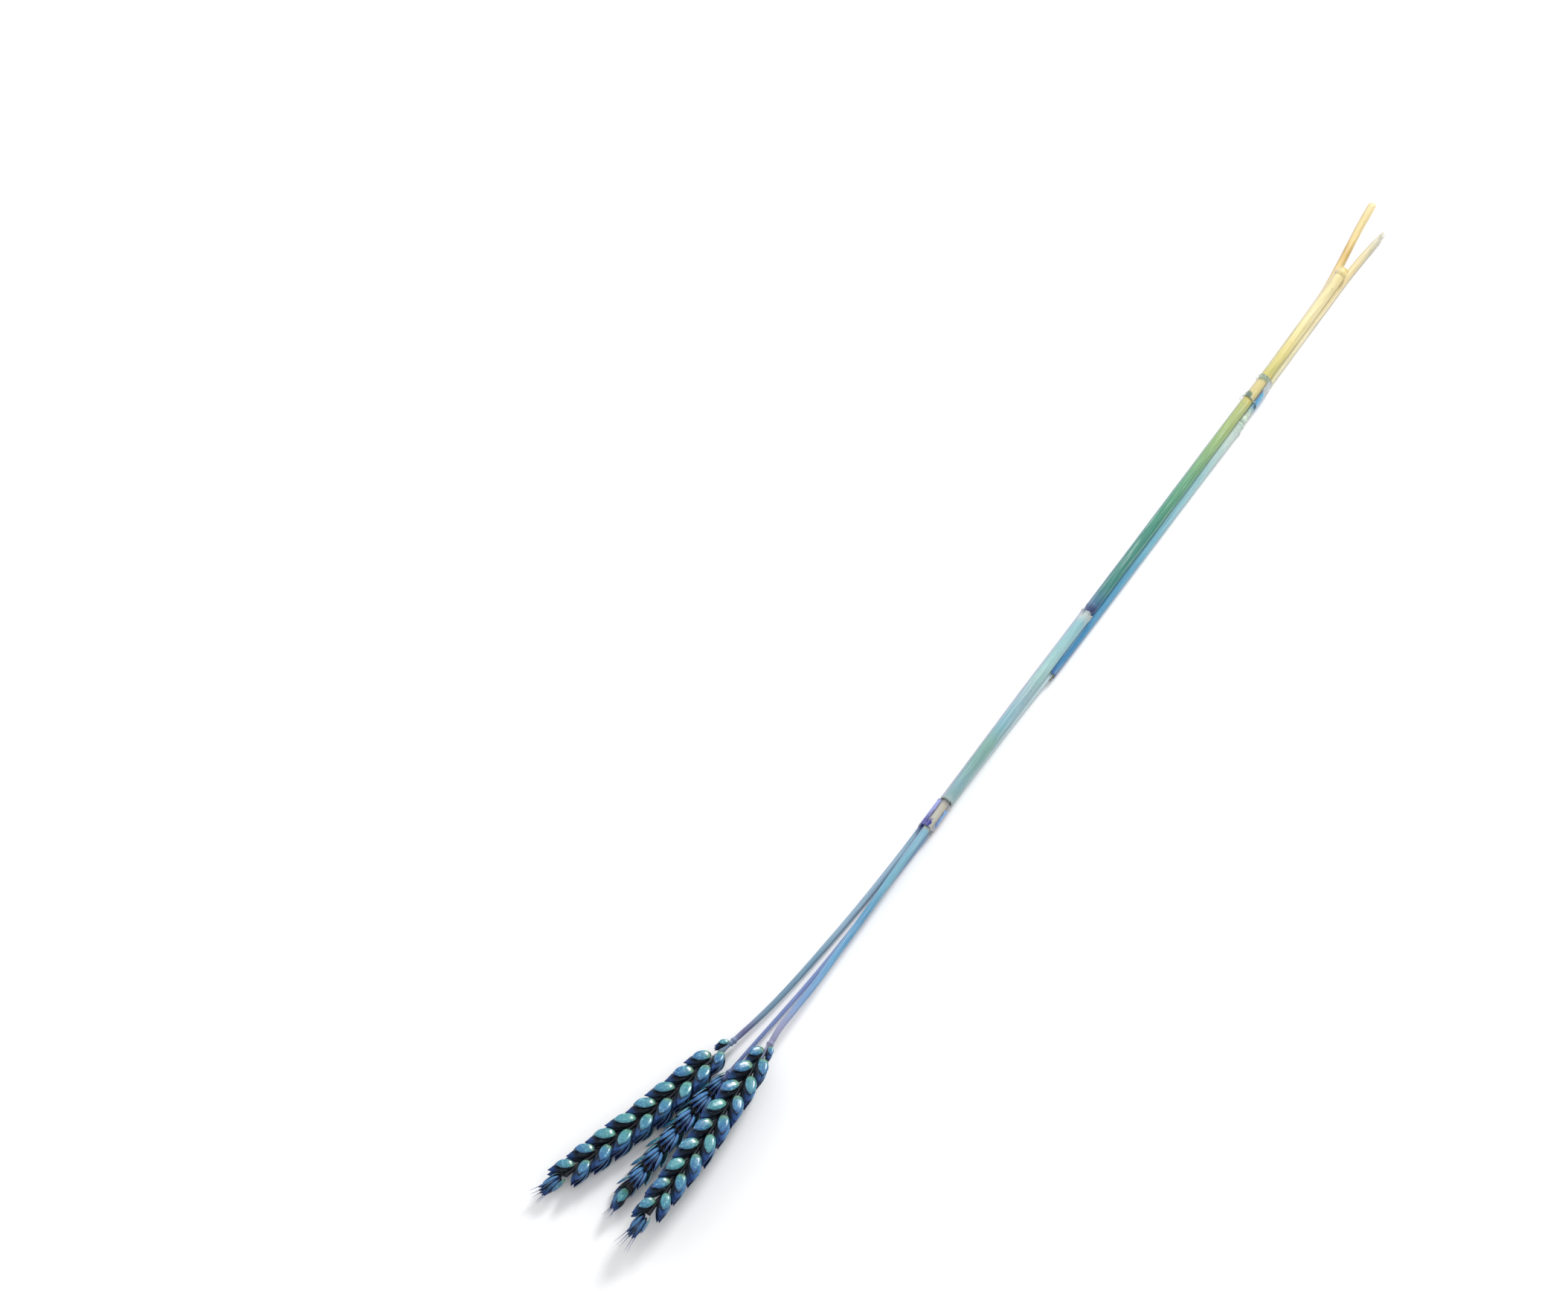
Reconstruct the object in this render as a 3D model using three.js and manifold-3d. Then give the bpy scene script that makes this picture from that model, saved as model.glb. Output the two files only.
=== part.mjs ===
// A sprig of dried, dyed wheat: three stalks, each with its ear, bound side by side by two bands of clear tape.
// It lies on a flat surface. +X runs from the ears to the cut ends and +Z is up. Every size is in millimetres.
// Paths are laid out from the centre of the lower band, the one nearer the ears, at [0, 0, 0] on the surface.
import * as THREE from "three";
import { mergeVertices } from "three/addons/utils/BufferGeometryUtils.js";
import Module from "manifold-3d";

const wasm = await Module();
wasm.setup();

// ---- driving dimensions ----
const BAND_LENGTH = 12; // the tape's width, which runs along the stalks
const BAND_CLEARANCE = 0.2;
const BAND_THICKNESS = 0.25;
const LOWER_BAND_X = 0;
const UPPER_BAND_X = 209.6;

const SHEATH_GAP = 0.3; // between a leaf sheath and the culm inside it
const NODE_SWELL = 0.28;
const NODE_HALF = 1.6;
const RACHIS_RADIUS = 0.55;
const COLLAR_SWELL = 0.2;
const STEM_SIDES = 8;
const STEM_STEP = 11;

const SPIKELET_TILT = THREE.MathUtils.degToRad(25); // how far a spikelet leans out from the rachis
const SPIKELET_STANDOFF = 0.15; // from the rachis centreline to a spikelet's flat inner side
const RACHIS_CLEARANCE = 0.3; // the inner side is hollowed this far from the rachis
const FLORETS = { length: 9.6, halfThick: 1.9, halfFan: 3.3, rise: 0.7 };
const GLUME = { length: 7.4, halfThick: 1.9, halfFan: 1.6, rise: 0.9, base: 1.25, splay: THREE.MathUtils.degToRad(18) };
const LAST_INTERNODE = 5; // from the last spikelet at the side to the terminal one
const HUSK_SIDES = 6;
const AWN = { radius: 0.26, start: 7, splays: [-0.2, 0.03, 0.24] }; // on the terminal spikelet alone

// Each stalk runs from its cut end to past the tip of its rachis. culm lists [x, radius] from the cut end to the
// collar under the ear, nodes the x of each joint of the straw, and sheath the leaf sheath's node, mouth and radius.
// foot lists the steps along the rachis from the collar to the first spikelets, and pitch is the step between the
// others. side is the row of the first spikelet, and roll turns both rows about the rachis: 0 lays them side by side.
const STALKS = [
  {
    name: "left",
    path: [
      [307.5, 8.6, 1.8], [296, 7.3, 1.65], [285, 5.7, 1.6], [275.5, 4.3, 1.55], [262, 2.7, 1.5], [240, 2.1, 1.5],
      [209.6, 1.7, 1.45], [197, 1.8, 1.45], [160, 1.7, 1.45], [100, 1.5, 1.4], [50, 1.6, 1.3], [20, 1.5, 1.25],
      [0, 1.45, 1.15], [-22, 1.5, 1.15], [-50, 2.4, 1.2], [-78, 4.1, 1.7], [-93, 5.6, 2.3], [-108, 8.0, 3.2],
      [-119, 10.1, 3.75], [-128, 11.7, 4.0], [-137, 13.6, 4.05], [-146, 15.7, 4.05], [-154, 18.0, 4.05],
      [-170, 22.7, 4.0], [-192, 29.7, 3.9],
    ],
    culm: [[307.5, 1.45], [240, 1.4], [50, 1.2], [0, 1.1], [-108, 0.95]],
    nodes: [],
    bore: 0.9,
    boreDepth: 12,
    spikelets: 18,
    foot: [1.5, 4.6, 3.4, 3.8],
    pitch: 4.25,
    side: 1,
    roll: 4,
    size: 1,
    awn: 6,
  },
  {
    name: "middle",
    path: [
      [298.5, -1.9, 1.6], [288, -1.0, 1.5], [275, -0.5, 1.45], [258, -0.7, 1.45], [240, -0.9, 1.45],
      [222, -1.1, 1.45], [209.6, -1.3, 1.45], [195, -1.8, 1.8], [160, -1.8, 1.85], [100, -2.0, 1.85],
      [70, -1.9, 1.8], [50, -1.5, 1.4], [20, -1.3, 1.15], [0, -1.4, 1.1], [-20, -1.3, 1.05], [-48, -0.8, 1.0],
      [-68, -0.3, 1.1], [-89, 0.9, 1.5], [-103, 1.8, 2.3], [-118, 2.6, 3.5], [-132, 3.9, 4.1],
      [-150, 5.0, 4.15], [-166, 5.7, 4.15], [-192, 6.7, 4.1],
    ],
    culm: [[298.5, 1.35], [200, 1.35], [194, 1.2], [0, 1.0], [-60, 0.75], [-118, 0.62]],
    nodes: [197],
    sheath: { node: 195, mouth: 67.5, radius: 1.8 },
    bore: 0.8,
    boreDepth: 12,
    spikelets: 14,
    foot: [1, 2.8, 3.2, 3.6],
    pitch: 4.2,
    side: 1,
    roll: 84,
    size: 0.92,
    awn: 6,
  },
  {
    name: "right",
    path: [
      [272.5, 1.1, 5.0], [258, 0.8, 4.95], [240, 0.5, 4.9], [226, 0.3, 4.8], [209.6, 0.2, 4.8], [197, 0.2, 5.25],
      [160, -0.2, 5.75], [98, -0.4, 5.8], [70, -0.3, 5.55], [52, -0.2, 5.0], [34, -0.3, 4.8], [15, -0.4, 4.3],
      [0, -0.8, 3.9], [-20, -1.1, 3.75], [-48, -1.9, 3.9], [-62, -2.3, 4.3], [-75, -2.9, 5.1], [-89, -2.9, 6.0], [-97, -2.9, 6.6],
      [-103.7, -3.7, 7.1], [-117, -4.5, 7.9], [-133, -5.4, 8.5], [-150, -6.0, 8.7], [-166, -6.0, 8.6],
      [-192, -5.3, 8.2],
    ],
    culm: [[272.5, 2.0], [209.6, 1.9], [98, 2.0], [95, 1.4], [0, 1.3], [-103.7, 1.05]],
    nodes: [270, 98],
    sheath: { node: 96, mouth: 7.5, radius: 2.05 },
    bore: 1.3,
    boreDepth: 1.2,
    spikelets: 19,
    foot: [0.9, 2.4, 3.2, 3.6],
    pitch: 4.1,
    side: -1,
    roll: -6,
    size: 1,
    awn: 8.5,
  },
];

// ---- materials ----
const finish = (color, roughness) => new THREE.MeshStandardMaterial({ color, roughness, metalness: 0 });
const straw = finish(0x6fa7b5, 0.55);
const leafSheath = finish(0x9fc0c6, 0.5);
const husk = finish(0x1f6f9c, 0.4);
const clearTape = finish(0x9fc4e6, 0.12);

// ---- solids ----
function toSolid(geometry) {
  const bare = new THREE.BufferGeometry();
  bare.setAttribute("position", geometry.getAttribute("position"));
  bare.setIndex(geometry.index);
  const merged = mergeVertices(bare, 1e-4);
  const corners = merged.index.array;
  const kept = [];
  for (let i = 0; i < corners.length; i += 3) {
    const [a, b, c] = corners.subarray(i, i + 3);
    if (a !== b && b !== c && c !== a) kept.push(a, b, c);
  }
  const vertProperties = new Float32Array(merged.attributes.position.array);
  return new wasm.Manifold(new wasm.Mesh({ numProp: 3, vertProperties, triVerts: new Uint32Array(kept) }));
}

function toGeometry(solid) {
  const mesh = solid.getMesh();
  const geometry = new THREE.BufferGeometry();
  geometry.setAttribute("position", new THREE.BufferAttribute(new Float32Array(mesh.vertProperties), 3));
  geometry.setIndex(new THREE.BufferAttribute(new Uint32Array(mesh.triVerts), 1));
  geometry.computeVertexNormals();
  return geometry;
}

function named(name, geometry, material) {
  const mesh = new THREE.Mesh(geometry, material);
  mesh.name = name;
  return mesh;
}

// ---- the curve that a stalk follows ----
const UP = new THREE.Vector3(0, 0, 1);

class StalkCurve {
  constructor(points) {
    this.curve = new THREE.CatmullRomCurve3(points.map((p) => new THREE.Vector3(...p)));
    this.curve.arcLengthDivisions = 1200;
    this.length = this.curve.getLength();
  }

  // The distance from the cut end to where the stalk passes x.
  distanceTo(x) {
    let [near, far] = [0, this.length];
    while (far - near > 1e-4) {
      const middle = (near + far) / 2;
      if (this.curve.getPointAt(middle / this.length).x > x) near = middle;
      else far = middle;
    }
    return near;
  }

  // The point at a distance, the way the stalk runs there, and two directions across it: level, and near upright.
  frameAt(distance) {
    const share = THREE.MathUtils.clamp(distance / this.length, 0, 1);
    const point = this.curve.getPointAt(share);
    const along = this.curve.getTangentAt(share);
    const level = new THREE.Vector3().crossVectors(UP, along).normalize();
    const upright = new THREE.Vector3().crossVectors(along, level);
    return { point, along, level, upright };
  }
}

// A round solid whose profile of [distance, radius] points follows the curve.
function bentLathe(profile, curve, sides) {
  const geometry = new THREE.LatheGeometry(profile.map(([s, r]) => new THREE.Vector2(r, s)), sides);
  const at = geometry.getAttribute("position");
  for (let i = 0; i < at.count; i++) {
    const { point, level, upright } = curve.frameAt(at.getY(i));
    point.addScaledVector(level, at.getX(i)).addScaledVector(upright, -at.getZ(i));
    at.setXYZ(i, point.x, point.y, point.z);
  }
  return geometry;
}

// Points from start to end, close enough together to bend.
function stretch(start, end, radiusAt) {
  const steps = Math.max(1, Math.ceil(Math.abs(end - start) / STEM_STEP));
  return Array.from({ length: steps + 1 }, (_, i) => {
    const s = start + ((end - start) * i) / steps;
    return [s, radiusAt(s)];
  });
}

// ---- the straw: culm, joints, collar and rachis, which grow as one piece ----
// The distance along the rachis from the collar to spikelet i.
function spikeletDistance({ foot, pitch, spikelets }, i) {
  if (i === spikelets - 1) return spikeletDistance({ foot, pitch }, i - 1) + LAST_INTERNODE;
  const crowded = foot.slice(0, i + 1).reduce((sum, step) => sum + step, 0);
  return crowded + Math.max(0, i + 1 - foot.length) * pitch;
}

function strawSolid(stalk, curve) {
  const collar = curve.distanceTo(stalk.culm.at(-1)[0]);
  const stations = stalk.culm.map(([x, r]) => [curve.distanceTo(x), r]);
  const swellings = stalk.nodes.map((x) => curve.distanceTo(x));
  const culmRadius = (s) => {
    const next = Math.max(1, stations.findIndex(([at]) => at >= s));
    const [[s0, r0], [s1, r1]] = [stations[next - 1], stations[next]];
    return r0 + (r1 - r0) * THREE.MathUtils.clamp((s - s0) / (s1 - s0), 0, 1);
  };
  const body = stretch(0, collar, culmRadius).filter(([s]) => swellings.every((at) => Math.abs(s - at) > 2 * NODE_HALF));
  for (const [s, r] of stations.slice(1, -1)) if (!body.some(([at]) => Math.abs(at - s) < 1)) body.push([s, r]);
  for (const at of swellings) {
    const low = at - NODE_HALF > 0.3 ? [[at - NODE_HALF, culmRadius(at - NODE_HALF)]] : [[0, culmRadius(0)]];
    body.push(...low, [at - NODE_HALF / 3, culmRadius(at) + NODE_SWELL], [at + NODE_HALF / 3, culmRadius(at) + NODE_SWELL]);
    body.push([at + NODE_HALF, culmRadius(at + NODE_HALF)]);
  }
  if (!body.some(([s]) => s === 0)) body.push([0, culmRadius(0)]);
  body.sort((a, b) => a[0] - b[0]);
  body.at(-1)[1] += COLLAR_SWELL;
  const end = collar + spikeletDistance(stalk, stalk.spikelets - 1) - 0.4;
  const rachis = stretch(collar + 1.6, end, () => RACHIS_RADIUS);
  const bore = [[stalk.boreDepth, 0], [stalk.boreDepth, stalk.bore], [0, stalk.bore]];
  return bentLathe([...bore, ...body, ...rachis, [end, 0]], curve, STEM_SIDES);
}

// ---- the leaf sheath: an open tube round the culm, from its node to its mouth ----
function sheathSolid({ sheath, culm }, curve) {
  const inside = Math.max(...culm.filter(([x]) => x < sheath.node).map(([, r]) => r)) + SHEATH_GAP;
  const [foot, mouth] = [curve.distanceTo(sheath.node), curve.distanceTo(sheath.mouth)];
  const flare = (s) => sheath.radius + NODE_SWELL * Math.max(0, 1 - (s - foot) / 3);
  const outer = stretch(foot, mouth, flare);
  const inner = stretch(mouth, foot, () => inside);
  return bentLathe([...outer, ...inner, outer[0]], curve, STEM_SIDES);
}

// ---- the clear tape: a ring drawn tight round the three stalks ----
function cross(o, a, b) {
  return (a.x - o.x) * (b.y - o.y) - (a.y - o.y) * (b.x - o.x);
}

function hull(points) {
  const sorted = [...points].sort((a, b) => a.x - b.x || a.y - b.y);
  const chain = (list) => {
    const out = [];
    for (const p of list) {
      while (out.length > 1 && cross(out.at(-2), out.at(-1), p) <= 0) out.pop();
      out.push(p);
    }
    return out.slice(0, -1);
  };
  return [...chain(sorted), ...chain(sorted.reverse())];
}

function bandSolid(x, curves, grown) {
  const CIRCLE_POINTS = 14;
  const outline = (offset) => {
    const points = [];
    curves.forEach((curve, n) => {
      for (const station of [x - BAND_LENGTH / 2, x, x + BAND_LENGTH / 2]) {
        const { point } = curve.frameAt(curve.distanceTo(station));
        const radius = (grown[n] + offset) / Math.cos(Math.PI / CIRCLE_POINTS);
        for (let i = 0; i < CIRCLE_POINTS; i++) {
          const turn = (2 * Math.PI * i) / CIRCLE_POINTS;
          points.push(new THREE.Vector2(point.y + radius * Math.cos(turn), point.z + radius * Math.sin(turn)));
        }
      }
    });
    return hull(points);
  };
  const ring = new THREE.Shape(outline(BAND_CLEARANCE + BAND_THICKNESS));
  ring.holes.push(new THREE.Path(outline(BAND_CLEARANCE)));
  const geometry = new THREE.ExtrudeGeometry(ring, { depth: BAND_LENGTH, bevelEnabled: false });
  const axes = new THREE.Matrix4().makeBasis(new THREE.Vector3(0, 1, 0), UP, new THREE.Vector3(1, 0, 0));
  return geometry.applyMatrix4(axes).translate(x - BAND_LENGTH / 2, 0, 0);
}

// ---- the spikelet: two glumes at its sides and the florets between them ----
// Its own frame: x towards its tip, y away from the rachis, z across the fan of its husks.
function huskSolid({ length, halfThick, halfFan, rise }) {
  const profile = [[0, 0], [0.22, 0.8], [0.6, 0.96], [1, 0]]; // [share of length, share of width]
  const geometry = new THREE.LatheGeometry(profile.map(([t, r]) => new THREE.Vector2(r, t)), HUSK_SIDES);
  const axes = new THREE.Matrix4().set(0, length, 0, 0, -halfThick, 0, 0, rise, 0, 0, halfFan, 0, 0, 0, 0, 1);
  return toSolid(geometry.applyMatrix4(axes));
}

function spikeletSolid() {
  const half = (side) => {
    const place = new THREE.Matrix4().makeRotationY(-side * GLUME.splay).setPosition(0, 0, side * GLUME.base);
    return huskSolid(GLUME).transform(place.elements);
  };
  return huskSolid(FLORETS).add(half(1)).add(half(-1));
}

// The terminal spikelet's florets carry short awns, long past its tip.
function awned(solid, reach) {
  const length = FLORETS.length - AWN.start + reach;
  const cone = new THREE.LatheGeometry([[0, 0], [AWN.radius, 0], [0, length]].map((p) => new THREE.Vector2(...p)), 4);
  cone.rotateZ(-Math.PI / 2);
  return AWN.splays.reduce((whole, splay, i) => {
    const share = i === 1 ? 1 : 0.72;
    const place = new THREE.Matrix4().makeRotationY(-splay).scale(new THREE.Vector3(share, 1, 1));
    place.setPosition(AWN.start, FLORETS.rise, AWN.start * Math.sin(splay) * 0.6);
    return whole.add(toSolid(cone).transform(place.elements));
  }, solid);
}

// The side of a spikelet that lies along the rachis is flat, and hollowed where the rachis runs.
function besideRachis(solid) {
  const SLAB = 60;
  const slab = new THREE.BoxGeometry(SLAB, SLAB, SLAB).translate(0, -SLAB / 2, 0);
  const hollow = new THREE.CylinderGeometry(1, 1, SLAB, 6).rotateZ(Math.PI / 2);
  hollow.scale(1, RACHIS_RADIUS + RACHIS_CLEARANCE, RACHIS_RADIUS + RACHIS_CLEARANCE).translate(0, -SPIKELET_STANDOFF, 0);
  const lean = (geometry) => toSolid(geometry.rotateZ(-SPIKELET_TILT));
  return solid.subtract(lean(slab)).subtract(lean(hollow));
}

// Small at the foot of the ear, full in its middle, a little less towards its tip.
function spikeletSize(i, count) {
  const foot = [0.5, 0.8, 0.92][i] ?? 1;
  const tip = THREE.MathUtils.smoothstep(i, count * 0.6, count);
  return foot * (1 - 0.2 * tip);
}

function spikeletMesh(stalk, curve, i, whole) {
  const terminal = i === stalk.spikelets - 1;
  const collar = curve.distanceTo(stalk.culm.at(-1)[0]);
  const frame = curve.frameAt(collar + spikeletDistance(stalk, i));
  const row = frame.level.clone().applyAxisAngle(frame.along, THREE.MathUtils.degToRad(stalk.roll));
  const side = i % 2 ? stalk.side : -stalk.side;
  const tilt = terminal ? 0 : SPIKELET_TILT;
  const out = terminal ? new THREE.Vector3().crossVectors(frame.along, row) : row.clone().multiplyScalar(side);
  const x = frame.along.clone().multiplyScalar(Math.cos(tilt)).addScaledVector(out, Math.sin(tilt));
  const y = out.clone().multiplyScalar(Math.cos(tilt)).addScaledVector(frame.along, -Math.sin(tilt));
  const z = new THREE.Vector3().crossVectors(x, y);
  const size = stalk.size * spikeletSize(i, stalk.spikelets);
  const solid = terminal ? awned(whole, stalk.awn).scale([size, size, size]) : besideRachis(whole.scale([size, size, size]));
  const mesh = named(`spikelet_${stalk.name}_${String(i + 1).padStart(2, "0")}`, toGeometry(solid), husk);
  mesh.quaternion.setFromRotationMatrix(new THREE.Matrix4().makeBasis(x, y, z));
  mesh.position.copy(frame.point).addScaledVector(out, terminal ? -0.6 * size : SPIKELET_STANDOFF);
  return mesh;
}

// ---- the sprig ----
const sprig = new THREE.Group();
const curves = STALKS.map((stalk) => new StalkCurve(stalk.path));
const whole = spikeletSolid();

STALKS.forEach((stalk, n) => {
  sprig.add(named(`straw_${stalk.name}`, strawSolid(stalk, curves[n]), straw));
  if (stalk.sheath) sprig.add(named(`leaf_sheath_${stalk.name}`, sheathSolid(stalk, curves[n]), leafSheath));
  for (let i = 0; i < stalk.spikelets; i++) {
    sprig.add(spikeletMesh(stalk, curves[n], i, whole));
  }
});
sprig.add(named("tape_band_lower", bandSolid(LOWER_BAND_X, curves, [1.12, 1.02, 1.32]), clearTape));
sprig.add(named("tape_band_upper", bandSolid(UPPER_BAND_X, curves, [1.4, 1.38, 1.96]), clearTape));

// The origin is under the middle of the sprig's box, on the surface that it lies on.
sprig.updateMatrixWorld(true);
const box = new THREE.Box3().setFromObject(sprig, true);
const middle = box.getCenter(new THREE.Vector3());
sprig.position.set(-middle.x, -middle.y, -box.min.z);

export default sprig;
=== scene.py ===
import math

import bmesh
import bpy
import numpy as np
from mathutils import Matrix, Vector


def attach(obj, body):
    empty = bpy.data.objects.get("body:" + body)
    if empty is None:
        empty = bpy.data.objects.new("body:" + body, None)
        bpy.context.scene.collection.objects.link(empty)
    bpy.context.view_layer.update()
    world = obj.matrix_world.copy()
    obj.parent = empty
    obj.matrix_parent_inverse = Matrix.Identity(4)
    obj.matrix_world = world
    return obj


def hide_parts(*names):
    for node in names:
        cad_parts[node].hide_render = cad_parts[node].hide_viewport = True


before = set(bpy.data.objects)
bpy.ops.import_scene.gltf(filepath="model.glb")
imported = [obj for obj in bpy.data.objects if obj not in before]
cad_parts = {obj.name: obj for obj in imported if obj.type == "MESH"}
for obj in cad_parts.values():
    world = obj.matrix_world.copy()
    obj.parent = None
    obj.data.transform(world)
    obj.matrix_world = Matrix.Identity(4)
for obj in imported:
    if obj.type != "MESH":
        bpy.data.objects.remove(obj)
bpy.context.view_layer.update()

# ---- the three straws ----
# Each stalk is one grown piece: a hollow culm, cut with a knife at its foot, which swells at its joints, narrows
# towards its collar and runs on through the ear as the rachis. Its skin is finely ribbed along its length, and the
# dye has climbed it from the ear: indigo and steel blue, then green, then bare straw. Under the tape it stayed pale.
MM = 0.001
SEAT = np.array([-58.2093, -9.9017, 0.42896])  # where the middle of the lower tape band's foot lies, in mm

STALKS = {
    "left": {
        "path": [
            (307.5, 8.6, 1.8), (296, 7.3, 1.65), (285, 5.7, 1.6), (275.5, 4.3, 1.55), (262, 2.7, 1.5), (240, 2.1, 1.5),
            (209.6, 1.7, 1.45), (197, 1.8, 1.45), (160, 1.7, 1.45), (100, 1.5, 1.4), (50, 1.6, 1.3), (20, 1.5, 1.25),
            (0, 1.45, 1.15), (-22, 1.5, 1.15), (-50, 2.4, 1.2), (-78, 4.1, 1.7), (-93, 5.6, 2.3), (-108, 8.0, 3.2),
            (-119, 10.1, 3.75), (-128, 11.7, 4.0), (-137, 13.6, 4.05), (-146, 15.7, 4.05), (-154, 18.0, 4.05),
            (-170, 22.7, 4.0), (-192, 29.7, 3.9),
        ],
        "culm": [(307.5, 1.45), (240, 1.4), (50, 1.2), (0, 1.1), (-108, 0.95)],
        "nodes": [], "swell": [], "bore": 0.95, "bore_depth": 12, "slant": 1.6, "frayed": 0,
        "spikelets": 18, "foot": [1.5, 4.6, 3.4, 3.8], "pitch": 4.25, "side": 1, "roll": 4, "size": 1, "awn": 6,
    },
    "middle": {
        "path": [
            (298.5, -1.9, 1.6), (288, -1.0, 1.5), (275, -0.5, 1.45), (258, -0.7, 1.45), (240, -0.9, 1.45),
            (222, -1.1, 1.45), (209.6, -1.3, 1.45), (195, -1.8, 1.8), (160, -1.8, 1.85), (100, -2.0, 1.85),
            (70, -1.9, 1.8), (50, -1.5, 1.4), (20, -1.3, 1.15), (0, -1.4, 1.1), (-20, -1.3, 1.05), (-48, -0.8, 1.0),
            (-68, -0.3, 1.1), (-89, 0.9, 1.5), (-103, 1.8, 2.3), (-118, 2.6, 3.5), (-132, 3.9, 4.1),
            (-150, 5.0, 4.15), (-166, 5.7, 4.15), (-192, 6.7, 4.1),
        ],
        "culm": [(298.5, 1.35), (200, 1.35), (194, 1.2), (0, 1.0), (-60, 0.75), (-118, 0.62)],
        "nodes": [197], "swell": [0.3], "bore": 0.85, "bore_depth": 12, "slant": 0.4, "frayed": 7,
        "spikelets": 14, "foot": [1, 2.8, 3.2, 3.6], "pitch": 4.2, "side": 1, "roll": 64, "size": 0.92, "awn": 6,
        "sheath": {"node": 195, "mouth": 67.5, "radius": 1.8, "torn": 3.5, "ragged": 0.4},
    },
    "right": {
        "path": [
            (272.5, 1.1, 5.0), (258, 0.8, 4.95), (240, 0.5, 4.9), (226, 0.3, 4.8), (209.6, 0.2, 4.8), (197, 0.2, 5.25),
            (160, -0.2, 5.75), (98, -0.4, 5.8), (70, -0.3, 5.55), (52, -0.2, 5.0), (34, -0.3, 4.8), (15, -0.4, 4.3),
            (0, -0.8, 3.9), (-20, -1.1, 3.75), (-48, -1.9, 3.9), (-62, -2.3, 4.3), (-75, -2.9, 5.1), (-89, -2.9, 6.0),
            (-97, -2.9, 6.6), (-103.7, -3.7, 7.1), (-117, -4.5, 7.9), (-133, -5.4, 8.5), (-150, -6.0, 8.7),
            (-166, -6.0, 8.6), (-192, -5.3, 8.2),
        ],
        "culm": [(272.5, 2.0), (209.6, 1.9), (98, 2.0), (95, 1.4), (0, 1.3), (-103.7, 1.05)],
        "nodes": [270, 98], "swell": [0.3, 0.06], "bore": 1.35, "bore_depth": 1.2, "slant": 0.2, "frayed": 0,
        "spikelets": 19, "foot": [0.9, 2.4, 3.2, 3.6], "pitch": 4.1, "side": -1, "roll": -6, "size": 1, "awn": 8.5,
        "sheath": {"node": 96, "mouth": 6.15, "radius": 2.05, "torn": 0.35, "ragged": 1.8},
    },
}
LAST_INTERNODE = 5
STRAW_SIDES = 40
CULM_STEP, RACHIS_STEP = 2.2, 0.6  # how far apart the rings of a straw lie
RACHIS, LINK_GROWTH = 0.66, 0.4  # a rachis link's radius at its foot, and how much wider it ends
COLLAR_LIP = 0.22


class StalkCurve:
    """A smooth curve through a stalk's points, measured from its cut end."""

    def __init__(self, points):
        p = [np.array(q, float) for q in points]
        p = [2 * p[0] - p[1], *p, 2 * p[-1] - p[-2]]
        share = np.linspace(0, 1, 60, endpoint=False)[:, None]
        runs = []
        for a, b, c, d in zip(p, p[1:], p[2:], p[3:]):
            ab, bc, cd = (math.dist(s, e) ** 0.5 for s, e in ((a, b), (b, c), (c, d)))
            leave = ((b - a) / ab - (c - a) / (ab + bc) + (c - b) / bc) * bc
            arrive = ((c - b) / bc - (d - b) / (bc + cd) + (d - c) / cd) * bc
            square, cube = 3 * (c - b) - 2 * leave - arrive, 2 * (b - c) + leave + arrive
            runs.append(b + share * (leave + share * (square + share * cube)))
        self.at = np.vstack([*runs, p[-2][None]])
        self.reached = np.r_[0, np.cumsum(np.linalg.norm(np.diff(self.at, axis=0), axis=1))]
        self.way = np.gradient(self.at, self.reached, axis=0)
        self.length = self.reached[-1]

    def distance_to(self, x):
        return float(np.interp(-x, -self.at[:, 0], self.reached))

    def frame_at(self, distance):
        """The point there, the way the stalk runs, and two directions across it: level, and near upright."""
        pick = lambda values: np.array([np.interp(distance, self.reached, values[:, k]) for k in range(3)])
        along = pick(self.way) / np.linalg.norm(pick(self.way))
        level = np.cross((0, 0, 1), along)
        level /= np.linalg.norm(level)
        return pick(self.at), along, level, np.cross(along, level)


def spikelet_distance(stalk, i):
    """How far along the rachis from the collar spikelet i sits."""
    if i == stalk["spikelets"] - 1:
        return spikelet_distance({**stalk, "spikelets": 99}, i - 1) + LAST_INTERNODE
    return sum(stalk["foot"][: i + 1]) + max(0, i + 1 - len(stalk["foot"])) * stalk["pitch"]


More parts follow.
